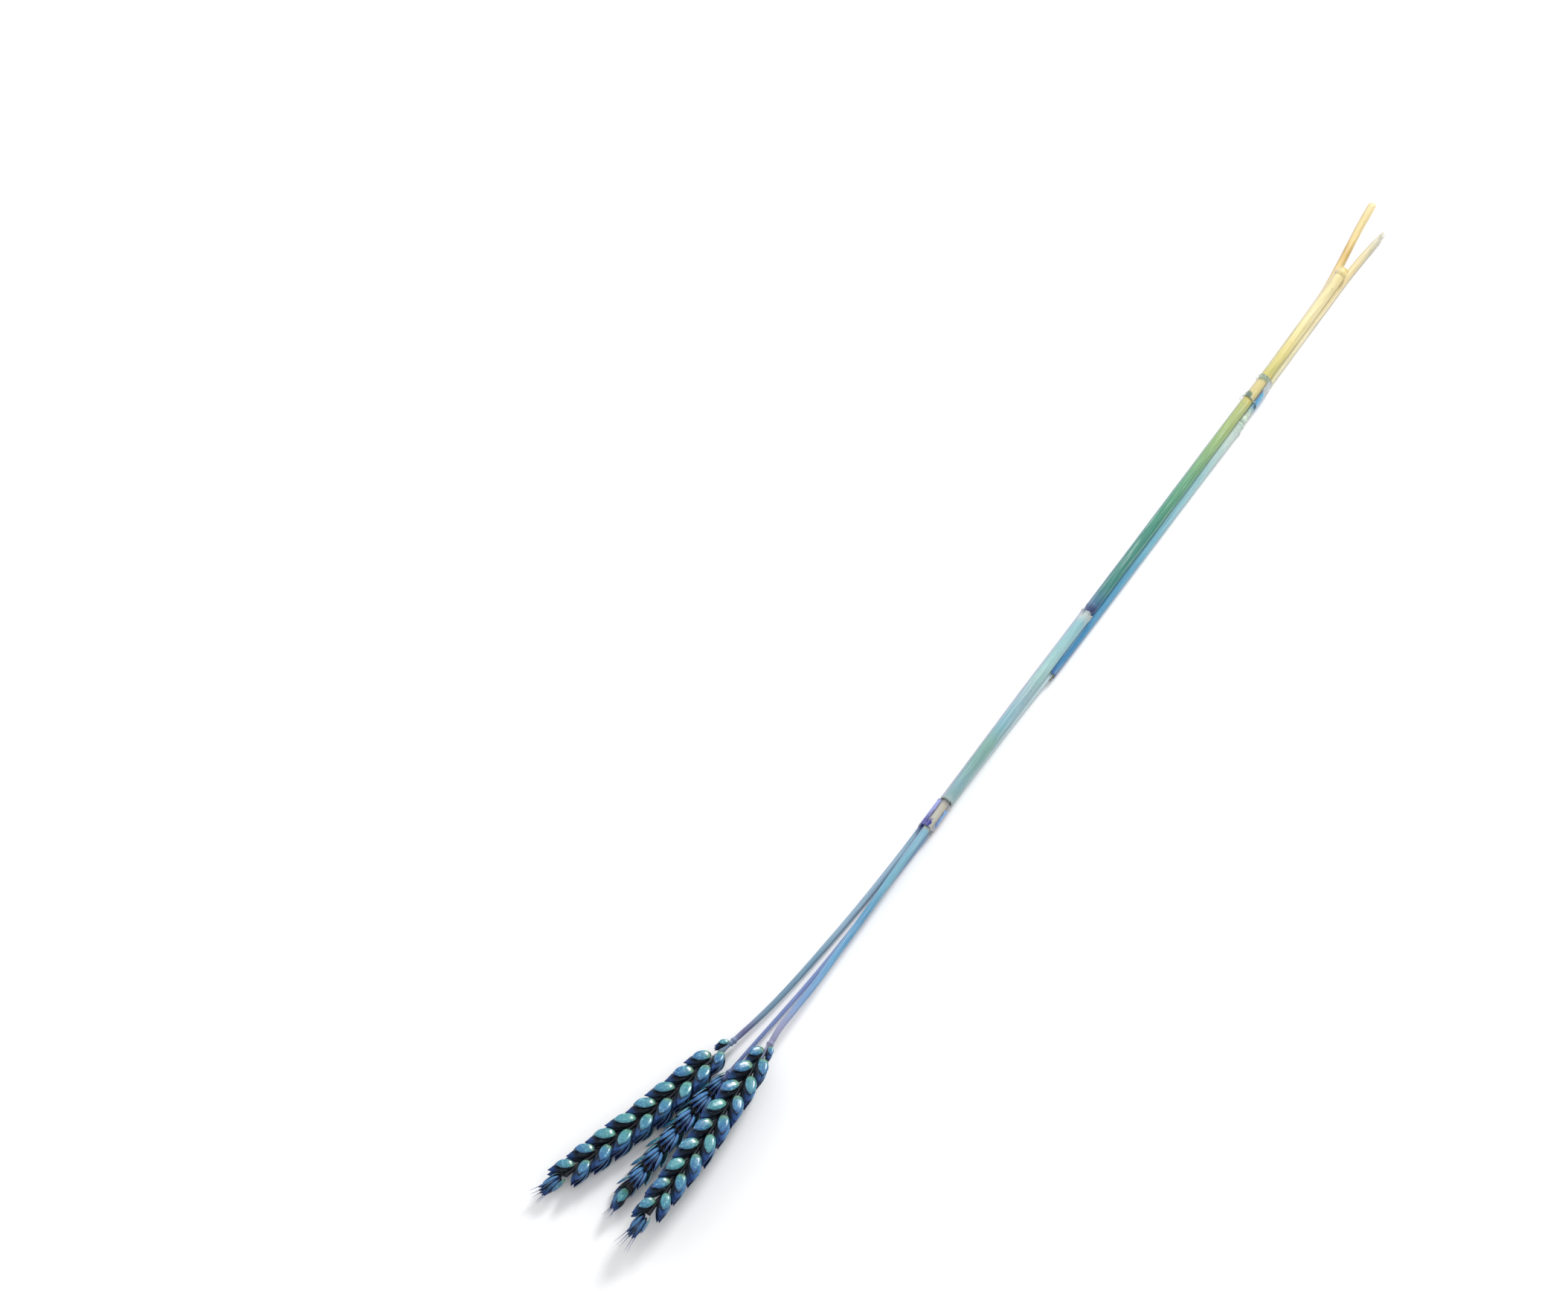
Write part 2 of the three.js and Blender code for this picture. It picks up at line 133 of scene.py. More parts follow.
class Socket:
    """A node's output that Python's operators work on, in a material or in a geometry tree."""

    def __init__(self, tree, output):
        self.tree, self.output = tree, output

    def maths(self, operation, *values):
        return node(self.tree, "ShaderNodeMath", {"operation": operation}, *values)

    def vector(self, operation, *values, out=0):
        return node(self.tree, "ShaderNodeVectorMath", {"operation": operation}, *values, out=out)

    def __add__(self, other): return self.maths("ADD", self, other)
    def __radd__(self, other): return self.maths("ADD", other, self)
    def __sub__(self, other): return self.maths("SUBTRACT", self, other)
    def __rsub__(self, other): return self.maths("SUBTRACT", other, self)
    def __mul__(self, other): return self.maths("MULTIPLY", self, other)
    def __rmul__(self, other): return self.maths("MULTIPLY", other, self)
    def __truediv__(self, other): return self.maths("DIVIDE", self, other)
    def __rtruediv__(self, other): return self.maths("DIVIDE", other, self)
    def __mod__(self, other): return self.maths("FLOORED_MODULO", self, other)
    def __rmod__(self, other): return self.maths("FLOORED_MODULO", other, self)

    def plus(self, other): return self.vector("ADD", self, other)
    def times(self, other): return node(self.tree, "ShaderNodeVectorMath", {"operation": "SCALE"}, self, Scale=other)
    def by(self, other): return self.vector("MULTIPLY", self, other)
    def sin(self): return self.maths("SINE", self)
    def cos(self): return self.maths("COSINE", self)
    def abs(self): return self.maths("ABSOLUTE", self)
    def most(self, other): return self.maths("MAXIMUM", self, other)
    def least(self, other): return self.maths("MINIMUM", self, other)
    def between(self, low, high, start=0.0, end=1.0):
        """start below low, end above high, and smooth from one to the other."""
        settings = {"interpolation_type": "SMOOTHSTEP"}
        return node(self.tree, "ShaderNodeMapRange", settings, self, low, high, start, end)


def node(tree, kind, settings=None, *values, out=0, **named):
    """Adds a node, sets its settings and then the values or links of its sockets, and returns its output."""
    made = tree.nodes.new(kind)
    for name, value in (settings or {}).items():
        if name == "stops":
            elements = made.color_ramp.elements
            while len(elements) < len(value):
                elements.new(1)
            for stop, (place, colour) in zip(elements, value):
                stop.position, stop.color = place, (*colour[:3], 1)
        else:
            setattr(made, name, value)
    live = [socket for socket in made.inputs if socket.enabled]
    called = ((next(socket for socket in live if socket.name == name), value) for name, value in named.items())
    for socket, value in [*zip(live, values), *called]:
        if isinstance(value, Socket):
            tree.links.new(value.output, socket)
        elif value is not None:
            socket.default_value = value
    outputs = [socket for socket in made.outputs if socket.enabled]
    return Socket(tree, outputs[out] if isinstance(out, int) else made.outputs[out])


def geometry_tree(name, inputs):
    """An empty geometry tree with named inputs, and those inputs as sockets."""
    tree = bpy.data.node_groups.new(name, "GeometryNodeTree")
    tree.interface.new_socket("Geometry", in_out="OUTPUT", socket_type="NodeSocketGeometry")
    for label, kind in {"Geometry": "Geometry", **inputs, "Material": "Material"}.items():
        tree.interface.new_socket(label, in_out="INPUT", socket_type="NodeSocket" + kind)
    entry = tree.nodes.new("NodeGroupInput")
    return tree, {s.name: Socket(tree, s) for s in entry.outputs if s.name}


def close_tree(tree, geometry, material):
    """Ends a geometry tree: its instances become real, its faces smooth, and it gets its material."""
    real = node(tree, "GeometryNodeRealizeInstances", {}, geometry)
    smooth = node(tree, "GeometryNodeSetShadeSmooth", {}, real)
    done = node(tree, "GeometryNodeSetMaterial", {}, smooth, Material=material)
    tree.links.new(done.output, tree.nodes.new("NodeGroupOutput").inputs[0])
    return tree


def named(tree, name, kind="FLOAT"):
    return node(tree, "GeometryNodeInputNamedAttribute", {"data_type": kind}, name)


def stored(tree, geometry, name, value, kind="FLOAT", domain="POINT"):
    """Stores a value on a geometry as a named attribute."""
    settings = {"data_type": kind, "domain": domain}
    return node(tree, "GeometryNodeStoreNamedAttribute", settings, geometry, Name=name, Value=value)


def turned_tree():
    """A round body along a line of points. Each point holds its radius and two directions across, so a line that
    goes in and comes back out makes a wall, as at a cut end."""
    tree, given = geometry_tree("round body along a line", {
        "Sides": "Int", "Ribs": "Int", "Rib depth": "Float", "Unevenness": "Float", "Overlap": "Float",
        "Seed": "Float",
    })
    line = given["Geometry"]
    points = node(tree, "GeometryNodeAttributeDomainSize", {"component": "MESH"}, line)
    grid = node(tree, "GeometryNodeMeshGrid", {}, 1.0, 1.0, points, given["Sides"] + 1)
    place = node(tree, "GeometryNodeInputPosition")
    x, y = (node(tree, "ShaderNodeSeparateXYZ", {}, place, out=k) for k in (0, 1))
    station, angle = (x + 0.5) * (points - 1), (y + 0.5) * math.tau
    station = station.maths("ROUND", station)

    def at_station(name, kind="FLOAT"):
        return node(tree, "GeometryNodeSampleIndex", {"data_type": kind}, line, named(tree, name, kind), station)

    radius, distance = at_station("radius"), at_station("distance")
    level, upright = at_station("level", "FLOAT_VECTOR"), at_station("upright", "FLOAT_VECTOR")
    centre = node(tree, "GeometryNodeSampleIndex", {"data_type": "FLOAT_VECTOR"}, line, place, station)
    across, up = angle.cos(), angle.sin()
    ring = node(tree, "ShaderNodeCombineXYZ", {}, across, up, given["Seed"])
    where = node(tree, "ShaderNodeCombineXYZ", {}, across, up, distance * 0.06 + given["Seed"])
    lumps = node(tree, "ShaderNodeTexNoise", {}, where, Scale=1.3, Detail=2.0) - 0.5
    ribs = (angle * given["Ribs"] + lumps * 3).cos()
    turn = angle / math.tau
    saw = turn - turn.between(0.955, 1.0)
    reach = radius * (1 + lumps * given["Unevenness"] + ribs * given["Rib depth"] + saw * given["Overlap"])
    along = level.vector("CROSS_PRODUCT", level, upright)
    rag = node(tree, "ShaderNodeTexNoise", {}, ring, Scale=2.6, Detail=3.0).between(0.3, 0.7)
    shift = at_station("tear") * rag + at_station("slant") * (1 + up)
    moved = centre.plus(level.times(across * reach)).plus(upright.times(up * reach)).plus(along.times(shift))
    grain = node(tree, "ShaderNodeCombineXYZ", {}, across, up, distance)
    body = stored(tree, grid, "grain", grain, "FLOAT_VECTOR")
    body = stored(tree, body, "wall", at_station("wall"))
    body = node(tree, "GeometryNodeSetPosition", {}, body, Position=moved)
    body = node(tree, "GeometryNodeMergeByDistance", {}, body, Distance=2e-7)
    return close_tree(tree, body, given["Material"])


def grown(obj, tree, settings):
    """Runs a geometry tree on an object and keeps what it makes as the object's own plain mesh."""
    modifier = obj.modifiers.new("grown", "NODES")
    modifier.node_group = tree
    for socket in tree.interface.items_tree:
        if socket.in_out == "INPUT" and socket.name in settings:
            modifier[socket.identifier] = settings[socket.name]
    bpy.context.view_layer.update()
    mesh = bpy.data.meshes.new_from_object(obj.evaluated_get(bpy.context.evaluated_depsgraph_get()))
    obj.modifiers.remove(modifier)
    mesh.materials.clear()
    mesh.materials.append(settings["Material"])
    mesh.polygons.foreach_set("material_index", [0] * len(mesh.polygons))
    host, obj.data = obj.data, mesh
    bpy.data.meshes.remove(host)
    mesh.name = obj.name
    return obj


def turned_outwards(obj):
    """Turns a closed mesh inside out if its faces point inwards."""
    mesh = bmesh.new()
    mesh.from_mesh(obj.data)
    if mesh.calc_volume(signed=True) < 0:
        bmesh.ops.reverse_faces(mesh, faces=mesh.faces)
    mesh.to_mesh(obj.data)
    mesh.free()
    return obj


def line_object(name, curve, profile):
    """A line of points on a stalk's curve, one for each row of a profile: distance, radius, and the row's extras."""
    mesh = bpy.data.meshes.new(name)
    frames = [curve.frame_at(min(max(row["distance"], 0), curve.length)) for row in profile]
    mesh.from_pydata([(f[0] + SEAT) * MM for f in frames], [(i, i + 1) for i in range(len(profile) - 1)], [])
    for attribute, value in {
        "distance": lambda row: row["distance"], "radius": lambda row: row["radius"] * MM,
        "tear": lambda row: row.get("tear", 0) * MM, "slant": lambda row: row.get("slant", 0) * MM,
        "wall": lambda row: row.get("wall", 0),
    }.items():
        mesh.attributes.new(attribute, "FLOAT", "POINT").data.foreach_set("value", [value(row) for row in profile])
    for attribute, k in (("level", 2), ("upright", 3)):
        flat = np.array([f[k] for f in frames], np.float32).ravel()
        mesh.attributes.new(attribute, "FLOAT_VECTOR", "POINT").data.foreach_set("vector", flat)
    obj = bpy.data.objects.new(name, mesh)
    bpy.context.collection.objects.link(obj)
    return obj


def straw_profile(stalk, curve):
    """Distances and radii of a straw: up its bore, over the cut rim, along the culm, and through the ear."""
    collar = curve.distance_to(stalk["culm"][-1][0])
    reached, radii = zip(*((curve.distance_to(x), r) for x, r in stalk["culm"]))
    joints = [curve.distance_to(x) for x in stalk["nodes"]]
    rows = [{"distance": s, "radius": r * stalk["bore"], "wall": 1} for s, r in (
        (stalk["bore_depth"], 0), (stalk["bore_depth"] - 0.1, 0.7), (stalk["bore_depth"] - 0.6, 0.97),
    )]
    depth = stalk["bore_depth"] - 0.6
    rows += [{"distance": s, "radius": stalk["bore"], "wall": 1} for s in np.linspace(depth, 0.25, 5)[1:]]
    rows += [{"distance": 0.0, "radius": stalk["bore"] + 0.05, "wall": 1}]
    stations = {*np.arange(0, collar, CULM_STEP), collar}
    for s in joints:
        stations |= {s + step for step in np.linspace(-4, 4, 21) if s + step > 0.1}
    stations |= set(collar + np.linspace(-3, 3, 16)) | {0.1, 0.3, 0.7, 1.2}
    end = collar + spikelet_distance(stalk, stalk["spikelets"] - 1) - 0.4
    stations |= set(np.arange(collar + 3, end, RACHIS_STEP))
    seats = [collar + spikelet_distance(stalk, i) for i in range(stalk["spikelets"])]
    for s in sorted(stations):
        radius = float(np.interp(s, reached, radii))
        for joint, swell in zip(joints, stalk["swell"]):
            away = s - joint
            waist = math.exp(-(((abs(away) - 1.7) / 0.45) ** 2)) / 3
            radius += swell * (math.exp(-((away / 1.1) ** 4)) - waist)
        if s > collar:  # the rachis: wedge-shaped links, each widest where its spikelet sits
            before = max([q for q in [collar, *seats] if q <= s])
            after = min([q for q in seats if q > s], default=end + 1)
            link = (s - before) / (after - before)
            radius = RACHIS + LINK_GROWTH * link**2 + 0.3 * math.exp(-(s - collar) / 0.8)
        radius += COLLAR_LIP * math.exp(-(((s - collar + 0.2) / 0.55) ** 2))
        radius -= 0.08 * math.exp(-(((s - collar + 1.4) / 0.5) ** 2))
        radius -= 0.06 * max(0, 1 - s / 0.5)
        if stalk["frayed"]:
            radius *= 0.62 + 0.38 * min(1, s / (2.5 * stalk["frayed"])) ** 0.6
        rows.append({"distance": s, "radius": radius})
    rows.append({"distance": end, "radius": 0.2})
    rows.append({"distance": end + 0.15, "radius": 0})
    for row in rows:
        near = max(0, 1 - row["distance"] / max(1, stalk["frayed"]))
        row["tear"] = stalk["frayed"] * 0.8 * near
        row["slant"] = stalk["slant"] * max(0, 1 - row["distance"] / 8)
    return rows


def dye(code):
    """A colour from six hexadecimal digits of its screen value."""
    channels = [int(code[i : i + 2], 16) / 255 for i in (0, 2, 4)]
    return tuple(c / 12.92 if c <= 0.04045 else ((c + 0.055) / 1.055) ** 2.4 for c in channels)


def blend(tree, share, first, second, mode="MIX"):
    """A mix of two colours."""
    made = tree.nodes.new("ShaderNodeMix")
    made.data_type, made.blend_type = "RGBA", mode
    for socket, value in ((made.inputs[0], share), (made.inputs[6], first), (made.inputs[7], second)):
        if isinstance(value, Socket):
            tree.links.new(value.output, socket)
        else:
            socket.default_value = value if isinstance(value, (int, float)) else (*value[:3], 1)
    return Socket(tree, made.outputs[2])


def ramp(tree, share, stops):
    """Colours laid out along a share, each stop a place and a screen colour."""
    return node(tree, "ShaderNodeValToRGB", {"stops": [(at, dye(colour)) for at, colour in stops]}, share)


def new_material(name, **shader):
    """A material with a Principled shader whose constant sockets are set."""
    material = bpy.data.materials.new(name)
    material.use_nodes = True
    surface = material.node_tree.nodes["Principled BSDF"]
    for socket, value in shader.items():
        surface.inputs[socket.replace("_", " ")].default_value = value
    return material, material.node_tree, surface


def feed(tree, surface, **links):
    for socket, value in links.items():
        tree.links.new(value.output, surface.inputs[socket.replace("_", " ")])


def stalk_material(name, stops, edge, edge_share, speck="1d2f3c", fibre=0.5, ear=-999):
    """Dyed straw. stops are (x, colour) along the stalk, in mm from the lower band, and edge tints one side of it.
    Past x = ear the stalk is the rachis, near black: partly its dye, partly painted shade in the gaps between
    spikelets."""
    material, tree, surface = new_material(name, Specular_IOR_Level=0.45, Coat_Roughness=0.3, Coat_Weight=0.12)
    place = node(tree, "ShaderNodeTexCoord", {}, out="Object")
    x = node(tree, "ShaderNodeSeparateXYZ", {}, place)
    grain = node(tree, "ShaderNodeAttribute", {"attribute_name": "grain"}, out="Vector")
    wall = node(tree, "ShaderNodeAttribute", {"attribute_name": "wall"}, out="Fac")
    side = node(tree, "ShaderNodeSeparateXYZ", {}, grain)
    patchy = node(tree, "ShaderNodeTexNoise", {}, grain.by((1.3, 1.3, 0.02)), Scale=1.0, Detail=3.0)
    streaks = node(tree, "ShaderNodeTexNoise", {}, grain.by((8, 8, 0.05)), Scale=1.0, Detail=4.0, Roughness=0.62)
    fibres = node(tree, "ShaderNodeTexNoise", {}, grain.by((24, 24, 0.14)), Scale=1.0, Detail=3.0, Roughness=0.6)
    low, high = stops[0][0], stops[-1][0]
    travelled = ((x * 1000 - float(SEAT[0])) + (patchy - 0.5) * 9 + (streaks - 0.5) * 5 - low) / (high - low)
    colour = ramp(tree, travelled, [((at - low) / (high - low), dyed) for at, dyed in stops])
    colour = blend(tree, (side * -1 + (patchy - 0.5) * 0.5).between(0.3, 0.95) * edge_share, colour, dye(edge))
    colour = blend(tree, streaks.between(0.52, 0.72) * 0.38, colour, (0.9, 0.93, 0.9), "SCREEN")
    colour = blend(tree, streaks.between(0.5, 0.28) * 0.6, colour, (0.5, 0.56, 0.58), "MULTIPLY")
    colour = blend(tree, fibres.between(0.58, 0.36) * fibre, colour, (0.42, 0.48, 0.52), "MULTIPLY")
    spots = node(tree, "ShaderNodeTexNoise", {}, grain.by((5, 5, 1.6)), Scale=1.0, Detail=1.0)
    colour = blend(tree, spots.between(0.735, 0.775) * 0.75, colour, dye(speck))
    colour = blend(tree, wall * 0.9, colour, dye("d8cfa8"))
    # past the collar the rachis is painted near black: partly its dye, partly painted shade in the gaps between
    # spikelets
    colour = blend(tree, (x * 1000 - float(SEAT[0])).between(ear, ear - 9.0), colour, dye("050b18"))
    rough = streaks * 0.3 + 0.34
    bump = node(tree, "ShaderNodeBump", {}, 0.35, 0.00012, Height=fibres * 0.7 + streaks * 0.6)
    feed(tree, surface, Base_Color=colour, Roughness=rough, Normal=bump)
    return material


# The stops past the collar lie on the rachis: near black, partly dye and partly painted shade in the gaps between
# spikelets.
STRAW_DYES = {
    "left": ([
        (-185, "060d18"), (-126, "0a1626"), (-116, "4a6c7c"), (-110, "6f86a6"), (-104, "5c5a88"), (-95, "64829a"),
        (-72, "688fa6"), (-50, "86a4b8"), (-28, "87a5bb"), (-9, "7d9fb4"), (-5.5, "3436a0"), (0, "6070c0"),
        (6, "98a8dc"), (9, "9db0bd"), (60, "a2bcc6"), (110, "5f93a6"), (160, "74a793"), (190, "b4bf8c"),
        (206, "d9cf92"), (230, "eadca4"), (262, "ecd69a"), (275, "dcc07c"), (281, "cba552"), (288, "e0c684"),
        (308, "e8d29a"),
    ], "7f78a0", 0.35),
    "middle": ([
        (-190, "060d1a"), (-130, "0a1830"), (-118, "4f6298"), (-80, "7186bd"), (-40, "7d97c0"), (-8, "7fa0c4"),
        (-5, "b0a29a"), (6, "c0b2a4"), (9, "b0cdd2"), (64, "c9e2e6"), (120, "4d94bd"), (190, "a9cbc6"),
        (200, "cfdcc4"), (206, "5aaede"), (212, "a9bfb4"), (217, "e3dcae"), (240, "f2e6bc"), (275, "e6d098"),
        (288, "d8cca6"), (299, "c0c0ba"),
    ], "7f8fb0", 0.3),
    "right": ([
        (-190, "050b16"), (-118, "0a1828"), (-111, "4a7c88"), (-105, "7c7a9c"), (-97, "8f90b2"), (-86, "7397c4"),
        (-66, "5c9ac2"), (-46, "5796bd"), (-30, "6ba9bd"), (-14, "78abc0"), (-7, "6fa9c0"), (-5.6, "a6a68c"),
        (0, "b2b09a"), (5.4, "b4aa94"), (8, "86a2a6"), (94, "39457c"), (97, "2a3468"), (100, "2f6688"),
        (108, "2f7d74"), (135, "388571"), (160, "5a9a72"), (182, "8cab6a"), (200, "aab26a"), (204, "c6b660"),
        (214, "d6c166"), (218, "c2ba62"), (230, "dccc84"), (250, "e8d8a4"), (266, "e4d298"), (273, "dcc47a"),
    ], "8f95b4", 0.45),
}

turned = turned_tree()
curves = {side: StalkCurve(stalk["path"]) for side, stalk in STALKS.items()}
for number, (side, stalk) in enumerate(STALKS.items()):
    straw = line_object(f"dyed_straw_{side}", curves[side], straw_profile(stalk, curves[side]))
    grown(straw, turned, {
        "Sides": STRAW_SIDES, "Ribs": 13, "Rib depth": 0.022, "Unevenness": 0.09, "Overlap": 0.0, "Seed": 3.7 * number,
        "Material": stalk_material(f"dyed straw, {side} stalk", *STRAW_DYES[side], ear=stalk["culm"][-1][0] - 5),
    })
    turned_outwards(straw)
    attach(straw, "root")
    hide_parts(f"straw_{side}")

# ---- the leaf sheaths ----
# The foot of a leaf, rolled round the culm above its joint as an open tube with one edge over the other. The blade
# was stripped off, so the mouth is torn, dry and pale, and the joint below it has a dark ring.
SHEATH_GAP = 0.3
SHEATH_DYES = {
    "right": ([
        (5, "a9b8b6"), (9, "84a6a8"), (14, "7ea7ad"), (24, "7ba5a0"), (33, "7ea99e"), (42, "7baab6"), (56, "96b4bb"),
        (64, "9bc1bd"), (78, "96c1c3"), (90, "8ab8bf"), (94, "bec6c3"), (97, "1c576e"),
    ], "aba6bc", 0.8),
    "middle": ([
        (62, "e9ece4"), (69, "2c5a9c"), (74, "3580b0"), (96, "3f90ba"), (108, "4f9cc0"), (135, "6fb0c4"),
        (165, "9ac6ca"), (188, "c2d3ca"), (195, "b9ccc0"),
    ], "8fd0d8", 0.3),
}
for side, (stops, edge, edge_share) in SHEATH_DYES.items():
    stalk, curve = STALKS[side], curves[side]
    sheath = stalk["sheath"]
    inside = max(r for x, r in stalk["culm"] if x < sheath["node"]) + SHEATH_GAP
    foot, mouth = (curve.distance_to(sheath[end]) for end in ("node", "mouth"))
    rows = []
    for s in sorted({*np.arange(foot, mouth, 2.0), *np.linspace(foot, foot + 4, 9), *np.linspace(mouth - 5, mouth, 9)}):
        flare = 0.3 * max(0, 1 - (s - foot) / 3) - 0.08 * math.exp(-(((s - foot - 1.2) / 0.8) ** 2))
        rows.append({"distance": s, "radius": sheath["radius"] + flare + 0.1 * math.exp((s - mouth) / 1.2)})
    rows += [{"distance": s, "radius": inside, "wall": 1} for s in np.linspace(mouth, foot, 30)]
    rows.append(rows[0])
    for row in rows:
        row["tear"] = -sheath["torn"] * max(0, 1 - (mouth - row["distance"]) / 5)
        row["tear"] += sheath["ragged"] * max(0, 1 - (row["distance"] - foot) / 4)
    cover = line_object(f"leaf_sheath_{side}_shell", curve, rows)
    grown(cover, turned, {
        "Sides": STRAW_SIDES, "Ribs": 11, "Rib depth": 0.012, "Unevenness": 0.05, "Overlap": 0.07,
        "Seed": 11.3 + len(rows),
        "Material": stalk_material(f"dyed leaf sheath, {side} stalk", stops, edge, edge_share, fibre=0.4),
    })
    turned_outwards(cover)
    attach(cover, "root")
    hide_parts(f"leaf_sheath_{side}")

# ---- the spikelets ----
# An ear is two rows of spikelets, one on each side of the rachis. A spikelet is a fan of papery husks: two blunt,
# keeled glumes outside, and florets between them, each a pointed lemma folded round its palea and grain. The dye
# lies light on the glumes. The lemmas' near-black feet are partly dye and partly painted shade in the folds between
# spikelets. Only the spikelet at the tip bears awns.
TILT = math.radians(25)
STANDOFF, RISE = 0.15, 0.6  # from the rachis to a spikelet, and from a spikelet's foot to its husks
PRESSED = 1.2  # husks lower than this are pressed against the table
FIRST_SIZES, TAPER = [0.5, 0.8, 0.92], 0.2  # an ear's lowest spikelets are stunted, and it tapers to its tip
GLUME = {"length": 7.5, "width": 1.95, "depth": 1.05, "wrap": 80, "thickness": 0.12, "kind": 0,
         "outline": [(0, 0.36), (0.08, 0.62), (0.2, 0.86), (0.4, 1), (0.6, 0.98), (0.8, 0.8), (0.93, 0.56), (1, 0.38)],
         "arch": [(0, 0.3), (0.12, 0.8), (0.3, 1), (0.7, 1.04), (0.88, 0.9), (1, 0.62)]}
LEMMA = {"length": 10.2, "width": 2.35, "depth": 1.2, "wrap": 118, "thickness": 0.1, "kind": 1,
         "outline": [(0, 0.4), (0.12, 0.8), (0.3, 1), (0.52, 0.94), (0.72, 0.66), (0.88, 0.3), (1, 0.05)],
         "arch": [(0, 0.3), (0.2, 0.85), (0.45, 1), (0.65, 0.88), (0.85, 0.5), (1, 0.12)]}
PALEA = {"length": 7.8, "width": 1.75, "depth": 1.25, "wrap": 180, "thickness": 0, "kind": 2,
         "outline": [(0, 0.25), (0.15, 0.75), (0.4, 1), (0.65, 0.85), (0.88, 0.4), (1, 0.05)],
         "arch": [(0, 0.3), (0.2, 0.85), (0.5, 1), (0.75, 0.75), (1, 0.1)]}
HUSK_ROWS, HUSK_COLUMNS = 12, 12
AWN_ROWS, AWN_SIDES = 8, 5


def husk_object(name, length, width, depth, wrap, thickness, kind, outline, arch, awn=0.0):
    """A husk that lies along X with its back to +Z. Its outline and arch are shares of its width and depth. The
    attribute lie holds how far along and across each point lies, and the kind of husk: 0 glume, 1 lemma, 2 palea,
    3 awn, and half more on an inner face."""
    ridged, blunt_tip, half_angle = kind < 2, kind == 0, math.radians(wrap)

    def sheet(inset):
        rows = []
        for i in range(HUSK_ROWS + 1):
            t = i / HUSK_ROWS
            w = width * np.interp(t, *zip(*outline)) - inset
            d = depth * np.interp(t, *zip(*arch)) - inset
            row = []
            for j in range(HUSK_COLUMNS + 1):
                u = 2 * j / HUSK_COLUMNS - 1
                a = half_angle * u
                keel = 0.1 * math.exp(-(((u - 0.34) / 0.1) ** 2)) * ridged * (0.4 + 0.6 * t)
                nerve = 0.015 * math.cos(u * 15) * math.sin(math.pi * t) * ridged
                reach = 1 + nerve + keel * (1 if blunt_tip else 0.5)
                y = max(w, 0.02) * math.sin(a) / math.sin(min(half_angle, math.pi / 2))
                notch = (0.13 * abs(u) ** 1.7 - 0.07 * math.exp(-(((u - 0.2) / 0.1) ** 2))) * blunt_tip
                x = length * (t - notch * t**4) + inset * (0.5 - t)
                rise = math.copysign(abs(math.cos(a)) ** (0.42 if blunt_tip else 0.9), math.cos(a))
                row.append(((x, y, max(d, 0.02) * rise * reach), (t, u, kind + (0.5 if inset else 0))))
            rows.append(row)
        return rows

    points, lies, faces = [], [], []
    columns = HUSK_COLUMNS + 1
    if thickness:
        for rows in (sheet(0), sheet(thickness)):
            for row in rows:
                points += [p for p, _ in row]
                lies += [q for _, q in row]
        half = columns * (HUSK_ROWS + 1)
        for i in range(HUSK_ROWS):
            for j in range(HUSK_COLUMNS):
                a = i * columns + j
                faces.append((a, a + columns, a + columns + 1, a + 1))
                faces.append((a + half, a + half + 1, a + half + columns + 1, a + half + columns))
        rim = [*range(columns)] + [i * columns + columns - 1 for i in range(1, HUSK_ROWS + 1)]
        rim += [HUSK_ROWS * columns + j for j in range(columns - 2, -1, -1)]
        rim += [i * columns for i in range(HUSK_ROWS - 1, 0, -1)]
        for a, b in zip(rim, rim[1:] + rim[:1]):
            faces.append((a, b, b + half, a + half))
    else:
        for row in sheet(0):
            points += [p for p, _ in row[:-1]]
            lies += [q for _, q in row[:-1]]
        ring = columns - 1
        for i in range(HUSK_ROWS):
            for j in range(ring):
                a, b = i * ring + j, i * ring + (j + 1) % ring
                faces.append((a, a + ring, b + ring, b))
        faces += [tuple(range(ring)), tuple(HUSK_ROWS * ring + j for j in reversed(range(ring)))]
    if awn:
        start, ring = len(points), AWN_SIDES
        for i in range(AWN_ROWS + 1):
            t = i / AWN_ROWS
            radius = 0.17 * (1 - t) ** 0.7 + 0.02
            middle = (0.09 * t * t * awn, depth * 0.42 * (1 - t) + 0.1 * t * t * awn)
            for j in range(ring):
                a = math.tau * j / ring
                y, z = middle[0] + radius * math.cos(a), middle[1] + radius * math.sin(a)
                points.append((length * 0.86 + t * awn, y, z))
                lies.append((t, 0, 3))
        for i in range(AWN_ROWS):
            for j in range(ring):
                a, b = start + i * ring + j, start + i * ring + (j + 1) % ring
                faces.append((a, b, b + ring, a + ring))
        tip = start + AWN_ROWS * ring
        faces += [tuple(start + j for j in reversed(range(ring))), tuple(tip + j for j in range(ring))]
    mesh = bpy.data.meshes.new(name)
    mesh.from_pydata([tuple(c * MM for c in p) for p in points], [], faces)
    mesh.attributes.new("lie", "FLOAT_VECTOR", "POINT").data.foreach_set("vector", np.array(lies, np.float32).ravel())
    return turned_outwards(bpy.data.objects.new(name, mesh))


